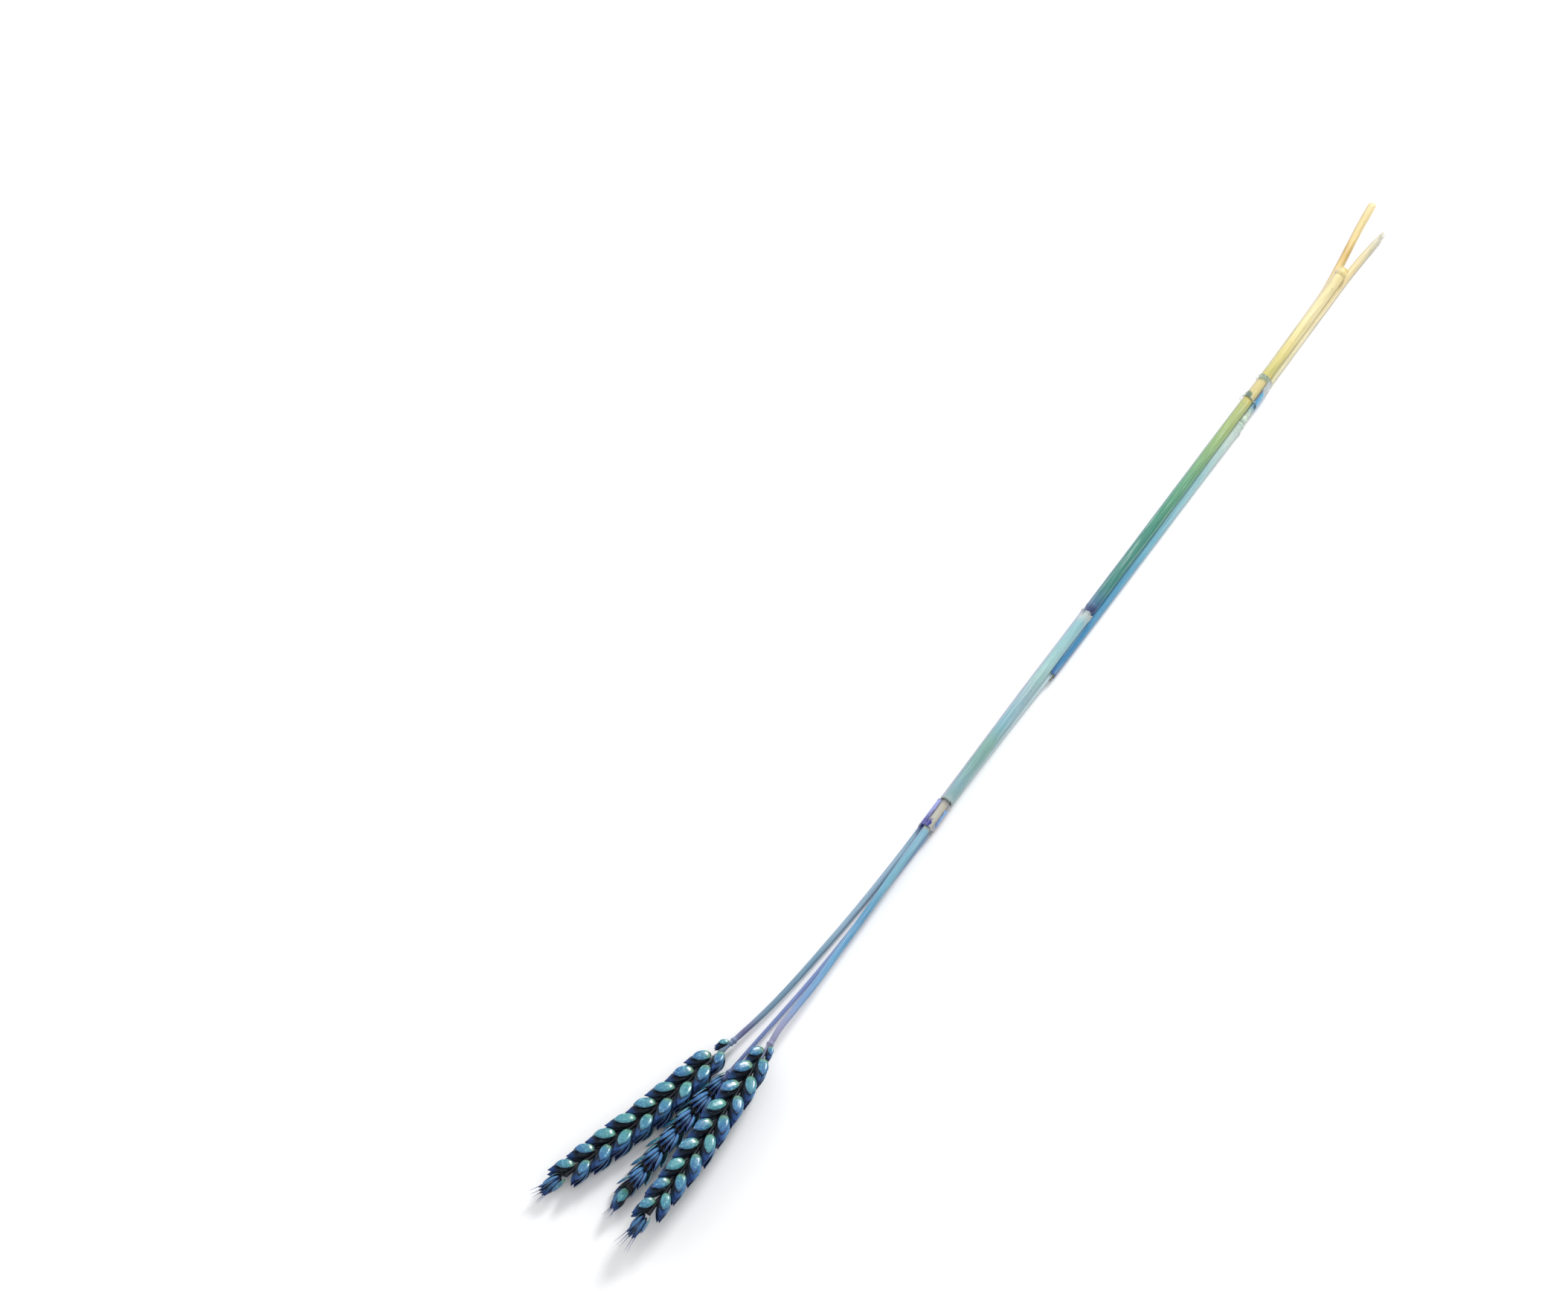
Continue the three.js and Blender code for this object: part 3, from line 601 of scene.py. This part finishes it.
def spikelet_tree():
    """A spikelet along X: two glumes at its foot, then florets on alternate sides of its middle line."""
    tree, given = geometry_tree("spikelet of husks", {
        "Glume": "Object", "Lemma": "Object", "Palea": "Object", "Florets": "Int", "Step": "Float",
        "Fan": "Float", "Splay": "Float", "Base": "Float", "Rise": "Float", "Length": "Float", "Belly": "Float",
        "Hook": "Float", "Sunlit": "Float", "Seed": "Int",
    })
    index = node(tree, "GeometryNodeInputIndex")

    def chance(low, high, salt):
        return node(tree, "FunctionNodeRandomValue", {}, low, high, ID=index, Seed=given["Seed"] + salt, out=0)

    def seated(count, husks, place, side, fan, lean, size, salt):
        line = node(tree, "GeometryNodeMeshLine", {}, count, (0, 0, 0), (0, 0, 0))
        line = node(tree, "GeometryNodeSetPosition", {}, line, Position=place)
        rolled = (1 - side) * (math.pi / 2) + chance(-0.12, 0.12, salt)
        turn = node(tree, "ShaderNodeCombineXYZ", {}, rolled, fan, lean)
        turn = node(tree, "FunctionNodeEulerToRotation", {}, turn)
        parts = []
        for husk in husks:
            shape = node(tree, "GeometryNodeObjectInfo", {}, given[husk], out="Geometry")
            placed = node(tree, "GeometryNodeInstanceOnPoints", {}, line, Instance=shape, Rotation=turn, Scale=size)
            parts.append(stored(tree, placed, "tint", chance(0.0, 1.0, salt + 7), domain="INSTANCE"))
        return parts

    side = index * 2 - 1
    y, z = given["Rise"] + 0.4 * MM, side * (given["Base"] + 0.3 * MM)
    place = node(tree, "ShaderNodeCombineXYZ", {}, 0.1 * MM, y, z)
    parts = seated(2, ["Glume"], place, side, side * given["Splay"] * -1, chance(-0.05, 0.09, 3), (1, 1, 1), 0)
    side = 1 - (index % 2) * 2
    inward = 1 - index / given["Florets"]
    x, y = index * given["Step"] + 0.4 * MM, given["Rise"] - 0.3 * MM - 0.1 * MM * index
    place = node(tree, "ShaderNodeCombineXYZ", {}, x, y, side * given["Base"] * (inward * 0.75 - 0.15))
    fan = side * given["Fan"] * (inward * 0.9 + 0.1) * -1
    lean = chance(-0.05, 0.05, 5) + 0.05 - index * 0.03
    parts += seated(given["Florets"], ["Lemma", "Palea"], place, side, fan, lean, 1 - index * 0.04, 20)
    joined = tree.nodes.new("GeometryNodeJoinGeometry")
    for part in reversed(parts):
        tree.links.new(part.output, joined.inputs[0])
    whole = node(tree, "GeometryNodeRealizeInstances", {}, Socket(tree, joined.outputs[0]))
    here = node(tree, "GeometryNodeInputPosition")
    far = (node(tree, "ShaderNodeSeparateXYZ", {}, here) / given["Length"]).most(0.0)
    kind = node(tree, "ShaderNodeSeparateXYZ", {}, named(tree, "lie", "FLOAT_VECTOR"), out=2)
    hook = far * far * given["Hook"] * far.between(1.5, 1.0)
    belly = (far.least(1.0) * math.pi).sin() * given["Belly"] - hook
    bend = node(tree, "ShaderNodeCombineXYZ", {}, 0.0, belly * kind.between(0.3, 1.0, 0.35, 1.0), 0.0)
    whole = node(tree, "GeometryNodeSetPosition", {}, whole, Offset=bend)
    whole = stored(tree, whole, "seat", here.times(1000.0), "FLOAT_VECTOR")
    whole = stored(tree, whole, "sunlit", given["Sunlit"])
    return close_tree(tree, whole, given["Material"])


def husk_material():
    """Dyed chaff: pale and bright on the glumes' backs, deep blue on the lemmas, and near black at their feet,
    where the near black is partly dye and partly painted shade.
    """
    material, tree, surface = new_material("dyed chaff", Specular_IOR_Level=0.22, Coat_Roughness=0.2)
    lie = node(tree, "ShaderNodeAttribute", {"attribute_name": "lie"}, out="Vector")
    t, u, kind = (node(tree, "ShaderNodeSeparateXYZ", {}, lie, out=k) for k in range(3))
    tint = node(tree, "ShaderNodeAttribute", {"attribute_name": "tint"}, out="Fac")
    place = node(tree, "ShaderNodeTexCoord", {}, out="Object")
    cloud = node(tree, "ShaderNodeTexNoise", {}, place, Scale=420.0, Detail=3.0)
    fine = node(tree, "ShaderNodeTexNoise", {}, place, Scale=2600.0, Detail=3.0, Roughness=0.6)
    shifted = node(tree, "ShaderNodeCombineXYZ", {}, t * 1.6, u * 9, tint * 40)
    fibres = node(tree, "ShaderNodeTexNoise", {}, shifted, Scale=2.2, Detail=4.0, Roughness=0.6)
    along = t + (cloud - 0.5) * 0.25
    glume = ramp(tree, along, [
        (0, "18404a"), (0.12, "6a9270"), (0.3, "31788c"), (0.6, "226d98"), (0.88, "256096"), (1, "1a3f76"),
    ])
    glume = blend(tree, (tint * 1.4 - 0.55 + cloud * 0.4).between(0.0, 1.0) * 0.5, glume, dye("4fa090"))
    # the lemma's foot: near black, partly dye and partly painted shade in the folds between spikelets
    lemma = ramp(tree, along, [
        (0, "01030a"), (0.5, "030812"), (0.66, "071830"), (0.82, "163f74"), (0.93, "1c3f7c"), (1, "0e1535"),
    ])
    seat = node(tree, "ShaderNodeAttribute", {"attribute_name": "seat"}, out="Vector")
    outward = node(tree, "ShaderNodeSeparateXYZ", {}, seat, out=1)
    flank = (outward + (cloud - 0.5) * 1.2).between(1.0, 2.7) * t.between(0.05, 0.3)
    sunlit = node(tree, "ShaderNodeAttribute", {"attribute_name": "sunlit"}, out="Fac")
    lemma = blend(tree, flank * sunlit, lemma, blend(tree, fibres, dye("1a4a8c"), dye("68a8d8")))
    palea = ramp(tree, along, [(0, "0c1230"), (0.5, "22307a"), (1, "3a3f86")])
    awn = ramp(tree, t, [(0, "2a3c70"), (0.4, "5f6a94"), (1, "8a8fa6")])
    is_lemma, is_palea, is_awn = kind.between(0.8, 0.95), kind.between(1.8, 1.95), kind.between(2.8, 2.95)
    colour = blend(tree, is_awn, blend(tree, is_palea, blend(tree, is_lemma, glume, lemma), palea), awn)
    edge = u.abs().between(0.86, 0.99).most(t.between(0.95, 1.0) * (1 - is_lemma))
    edge = edge * (1 - is_palea) * (0.35 + 0.4 * cloud) * t.between(0.15, 0.5)
    colour = blend(tree, edge, colour, dye("a9b9d4"))
    colour = blend(tree, fibres.between(0.55, 0.75) * 0.35, colour, dye("9fd3dc"), "SCREEN")
    colour = blend(tree, fibres.between(0.52, 0.3) * 0.8, colour, (0.3, 0.38, 0.5), "MULTIPLY")
    mottle = node(tree, "ShaderNodeTexNoise", {}, place, Scale=1250.0, Detail=3.0, Roughness=0.6)
    colour = blend(tree, mottle.between(0.54, 0.7) * (1 - is_lemma) * 0.45, colour, dye("8fd0c4"), "SCREEN")
    colour = blend(tree, mottle.between(0.47, 0.3) * 0.6, colour, (0.25, 0.4, 0.6), "MULTIPLY")
    colour = blend(tree, fine.between(0.58, 0.72) * 0.5, colour, dye("12305a"))
    notch = t.between(0.9, 0.97) * (u - 0.2).abs().between(0.16, 0.06) * (1 - is_lemma)
    colour = blend(tree, notch * 0.8, colour, dye("0c2238"))
    inside = ((kind % 1.0) - 0.25).between(0.0, 0.1) * (1 - is_palea)
    colour = blend(tree, inside * 0.7, colour, dye("101c48"))
    rough = 0.34 + fibres * 0.22
    bump = node(tree, "ShaderNodeBump", {}, 0.5, 0.0001, Height=fibres + fine * 0.4)
    feed(tree, surface, Base_Color=colour, Roughness=rough, Normal=bump, Coat_Weight=(1 - is_lemma) * 0.7)
    return material


def smooth_share(value, low, high):
    """0 below low, 1 above high, and smooth from one to the other."""
    t = min(max((value - low) / (high - low), 0), 1)
    return t * t * (3 - 2 * t)


spikelet = spikelet_tree()
chaff = husk_material()
glume, palea = husk_object("glume", **GLUME), husk_object("palea", **PALEA)
for side, stalk in STALKS.items():
    curve, count = curves[side], stalk["spikelets"]
    collar = curve.distance_to(stalk["culm"][-1][0])
    lemma, awned = husk_object("lemma", **LEMMA), husk_object("awned lemma", **LEMMA, awn=stalk["awn"])
    for i in range(count):
        last = i == count - 1
        point, along, level, _ = curve.frame_at(collar + spikelet_distance(stalk, i))
        row = np.array(Matrix.Rotation(math.radians(stalk["roll"]), 3, Vector(along)) @ Vector(level))
        out = np.cross(along, row) if last else row * (stalk["side"] if i % 2 else -stalk["side"])
        lit_row = (i % 2) == (stalk["side"] > 0)
        tilt = 0 if last else TILT
        x = along * math.cos(tilt) + out * math.sin(tilt)
        y = out * math.cos(tilt) - along * math.sin(tilt)
        size = stalk["size"] * (FIRST_SIZES[i] if i < len(FIRST_SIZES) else 1)
        size *= 1 - TAPER * smooth_share(i, count * 0.6, count)
        origin = point + out * (-RISE * size if last else STANDOFF)
        name = f"husks_{side}_{i + 1:02d}"
        fan = bpy.data.objects.new(name, bpy.data.meshes.new(name))
        bpy.context.collection.objects.link(fan)
        grown(fan, spikelet, {
            "Glume": glume, "Lemma": awned if last else lemma, "Palea": palea, "Florets": 5 if last else 4,
            "Step": 0.6 * MM, "Fan": 0.13 if last else 0.25, "Splay": 0.08 if last else 0.23,
            "Base": (1.1 if last else 1.25) * MM, "Rise": RISE * MM, "Length": 9.6 * MM,
            "Belly": 0 if last else 0.4 * MM, "Hook": 0 if last else 0.1 * MM, "Seed": 31 * i + count,
            "Sunlit": 0.95 if side == "middle" else 0.85 if lit_row else 0.2, "Material": chaff,
        })
        place = Matrix(np.column_stack([x * size, y * size, np.cross(x, y) * size]).tolist()).to_4x4()
        place.translation = Vector((origin + SEAT) * MM)
        fan.data.transform(place)
        corners = np.empty(len(fan.data.vertices) * 3, np.float32)
        fan.data.vertices.foreach_get("co", corners)
        height = corners[2::3] / MM
        corners[2::3] = np.where(height < PRESSED, PRESSED * np.exp(np.minimum(height / PRESSED, 1) - 1), height) * MM
        fan.data.vertices.foreach_set("co", corners)
        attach(fan, "root")
        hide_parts(f"spikelet_{side}_{i + 1:02d}")

# ---- the bands of clear tape ----
# Two short lengths of thin, glossy film, 12 mm wide, wound a little over once round the stalks, which they draw
# together. The dye has crept under the film and dried there in patches, and dark along its edges.
BAND_WIDTH = 12
BANDS = {
    "lower": {
        "x": 0, "grown": {"left": 1.12, "middle": 1.02, "right": 1.32}, "start": 2.2, "skew": 0.5,
        "finish": "clear tape with indigo dye", "edges": "1d3a76",
        "pools": [
            ((-1.3, 1.3), (-0.05, 0.19), ("221f8c", "8793d4"), 0.88),
            ((-1.3, -0.55), (0.12, 0.3), ("221f8c", "3552a8"), 0.85),
            ((-0.6, 0.6), (0.4, 0.56), ("5c8fd8", "7fb4ea"), 0.7),
        ],
    },
    "upper": {
        "x": 209.6, "grown": {"left": 1.4, "middle": 1.38, "right": 1.96}, "start": 2.6, "skew": -0.4,
        "finish": "clear tape with cyan dye", "edges": "5f7a70",
        "pools": [
            ((-1.0, 0.15), (0.4, 0.66), ("2398cc", "45b2da"), 0.9),
            ((0.1, 1.0), (0.36, 0.6), ("a9b8c4", "c8d0d0"), 0.6),
            ((-1.3, -0.6), (0.12, 0.27), ("6f8a7c", "8fa08c"), 0.5),
            ((0.6, 1.3), (0.14, 0.36), ("7f9a90", "9fb09c"), 0.5),
        ],
    },
}
FILM, FILM_TURNS, CLEARANCE = 0.07, 1.13, 0.1
FILM_ROWS, FILM_COLUMNS = 120, 24
SPIRAL, WRINKLE, CURL = 0.11, 0.035, 0.25  # what a turn of film adds to its reach, its waves, and its edges' lift


def hull(points):
    """The convex outline of some points."""
    def chain(ordered):
        out = []
        for p in ordered:
            while len(out) > 1:
                (x0, y0), (x1, y1) = out[-2:]
                if (x1 - x0) * (p[1] - y0) > (y1 - y0) * (p[0] - x0):
                    break
                out.pop()
            out.append(p)
        return out[:-1]
    ordered = sorted(points)
    return chain(ordered) + chain(ordered[::-1])


def film_material(name, pools, edges):
    """Clear film. pools are patches of dried dye: how far across and round they reach, their colours and strength."""
    material, tree, surface = new_material(name, Specular_IOR_Level=0.7, IOR=1.5, Coat_Weight=0.6, Coat_Roughness=0.08)
    lie = node(tree, "ShaderNodeAttribute", {"attribute_name": "lie"}, out="Vector")
    width, turn = (node(tree, "ShaderNodeSeparateXYZ", {}, lie, out=k) for k in range(2))
    place = node(tree, "ShaderNodeTexCoord", {}, out="Object")
    cloud = node(tree, "ShaderNodeTexNoise", {}, place, Scale=420.0, Detail=4.0, Roughness=0.62)
    flecks = node(tree, "ShaderNodeTexNoise", {}, place, Scale=1500.0, Detail=2.0)
    crinkle = node(tree, "ShaderNodeTexNoise", {}, place.by((0.25, 1, 1)), Scale=1300.0, Detail=3.0)
    wander = cloud - 0.5
    colour, held = dye("f2f4f4"), None
    for (w0, w1), (a0, a1), (first, second), strength in pools:
        across, around = width + wander * 0.9, turn + wander * 0.1
        pool = across.between(w0 - 0.1, w0 + 0.1) * across.between(w1 + 0.1, w1 - 0.1)
        pool = pool * around.between(a0 - 0.015, a0 + 0.015) * around.between(a1 + 0.015, a1 - 0.015)
        inked = blend(tree, (width * 0.5 + 0.5 + wander * 0.8).between(0.1, 0.8), dye(first), dye(second))
        inked = blend(tree, flecks.between(0.62, 0.72) * 0.55, inked, dye("16245c"))
        colour = blend(tree, pool.between(0.0, 0.4), colour, inked)
        pool = pool * strength
        held = pool if held is None else held.most(pool)
    rim = width.abs().between(0.89, 0.97) * cloud.between(0.3, 0.6)
    colour = blend(tree, rim, colour, dye(edges))
    bump = node(tree, "ShaderNodeBump", {}, 0.6, 0.0002, Height=crinkle)
    alpha = held.most(rim * 0.9) * 0.93 + 0.07
    feed(tree, surface, Base_Color=colour, Alpha=alpha, Roughness=0.07 + cloud * 0.12, Normal=bump)
    return material


for label, band in BANDS.items():
    def outline(x):
        """The film's outline at x, pulled tight round the stalks, as points evenly spaced round it."""
        points = []
        for side, radius in band["grown"].items():
            _, y, z = curves[side].frame_at(curves[side].distance_to(x))[0]
            clear = radius + CLEARANCE
            circle = np.linspace(0, math.tau, 48, endpoint=False)
            points += [(y + clear * math.cos(a), z + clear * math.sin(a)) for a in circle]
        ring = np.array(hull(points))
        middle = ring.mean(axis=0)
        turns = np.arctan2(ring[:, 1] - middle[1], ring[:, 0] - middle[0])
        order = np.argsort(turns)
        return middle, turns[order], np.hypot(*(ring - middle).T)[order]

    points, lies = [], []
    for lift in (FILM, 0):
        for j in range(FILM_COLUMNS + 1):
            v = 2 * j / FILM_COLUMNS - 1
            middle, turns, reach = outline(band["x"] + v * BAND_WIDTH / 2)
            for i in range(FILM_ROWS + 1):
                share = FILM_TURNS * i / FILM_ROWS
                a = band["start"] + math.tau * share
                base = (a + math.pi) % math.tau - math.pi
                out = np.interp(base, turns, reach, period=math.tau) + lift + SPIRAL * share
                out += WRINKLE * math.sin(a * 7 + v * 3) * math.sin(v * 9 + a * 2)
                out += CURL * max(0, abs(v) - 0.8) * math.sin(a * 5 + v)
                x = band["x"] + v * (BAND_WIDTH / 2 - 0.1)
                x += band["skew"] * (share - 0.5) * 0.5 + 0.08 * math.sin(a * 4) * v
                points.append(((x, middle[0] + out * math.cos(a), middle[1] + out * math.sin(a)) + SEAT) * MM)
                lies.append((v, (a / math.tau) % 1.0, share))
    wide = FILM_ROWS + 1
    half = wide * (FILM_COLUMNS + 1)
    faces = []
    for j in range(FILM_COLUMNS):
        for i in range(FILM_ROWS):
            a = j * wide + i
            faces.append((a, a + 1, a + wide + 1, a + wide))
            faces.append((a + half, a + half + wide, a + half + wide + 1, a + half + 1))
    rim = [*range(wide)] + [j * wide + FILM_ROWS for j in range(1, FILM_COLUMNS + 1)]
    rim += [FILM_COLUMNS * wide + i for i in range(FILM_ROWS - 1, -1, -1)]
    rim += [j * wide for j in range(FILM_COLUMNS - 1, 0, -1)]
    faces += [(a, a + half, b + half, b) for a, b in zip(rim, rim[1:] + rim[:1])]
    mesh = bpy.data.meshes.new(f"tape_film_{label}")
    mesh.from_pydata(points, [], faces)
    mesh.attributes.new("lie", "FLOAT_VECTOR", "POINT").data.foreach_set("vector", np.array(lies, np.float32).ravel())
    mesh.polygons.foreach_set("use_smooth", [True] * len(mesh.polygons))
    film = bpy.data.objects.new(mesh.name, mesh)
    bpy.context.collection.objects.link(film)
    turned_outwards(film)
    mesh.materials.append(film_material(band["finish"], band["pools"], band["edges"]))
    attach(film, "root")
    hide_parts(f"tape_band_{label}")

# ---- the table, the light and the camera ----
# The sprig lies on a plain white table. A small bright window gives the ears their gloss, and three large soft
# panels of daylight fill in round it. The camera looks down on the sprig from beside its ears.
TABLE, LAMP_DISTANCE = 6, 1.7  # metres
CAMERA_DISTANCE, SEEN_WIDTH = 1500, 547.5  # mm
floor_mesh = bpy.data.meshes.new("table_top")
corners = [(-TABLE, -TABLE, 0), (TABLE, -TABLE, 0), (TABLE, TABLE, 0), (-TABLE, TABLE, 0)]
floor_mesh.from_pydata(corners, [], [(0, 1, 2, 3)])
floor = bpy.data.objects.new("table_top", floor_mesh)
bpy.context.collection.objects.link(floor)
white, *_ = new_material("matt white table", Roughness=0.9, Specular_IOR_Level=0.1, Base_Color=(0.9, 0.9, 0.9, 1))
floor_mesh.materials.append(white)

world = bpy.data.worlds.new("pale room")
bpy.context.scene.world = world
world.use_nodes = True
world.node_tree.nodes["Background"].inputs[0].default_value = (0.97, 0.98, 1, 1)
world.node_tree.nodes["Background"].inputs[1].default_value = 0.62

AIM = (np.array([27.58, 81.27, 0]) + SEAT * [1, 1, 0]) * MM
VIEW = np.array([0.4114, 0.2842, -0.8660])
for name, direction, power, size in (
    ("key", (0.845, 0.0, 0.54), 25, 0.4),
    ("side", (0.2, 0.9, 0.5), 7, 1.4),
    ("fill", (-0.75, -0.35, 0.75), 3.5, 1.6),
    ("top", (0.1, -0.1, 1), 4, 1.8),
):
    lamp = bpy.data.lights.new(name, "AREA")
    lamp.energy, lamp.size = power, size
    light = bpy.data.objects.new(name, lamp)
    bpy.context.collection.objects.link(light)
    toward = Vector(direction).normalized()
    light.location = toward * LAMP_DISTANCE
    light.rotation_euler = toward.to_track_quat("Z", "Y").to_euler()

camera = bpy.data.objects.new("camera", bpy.data.cameras.new("camera"))
bpy.context.collection.objects.link(camera)
camera.data.sensor_width = 36
camera.data.lens = camera.data.sensor_width * CAMERA_DISTANCE / SEEN_WIDTH
camera.location = AIM - VIEW * CAMERA_DISTANCE * MM
camera.rotation_mode = "QUATERNION"
camera.rotation_quaternion = Vector(-VIEW).to_track_quat("Z", "Y")
camera.data.clip_start, camera.data.clip_end = 0.05, 20
bpy.context.scene.camera = camera
bpy.context.scene.view_settings.view_transform = "Standard"
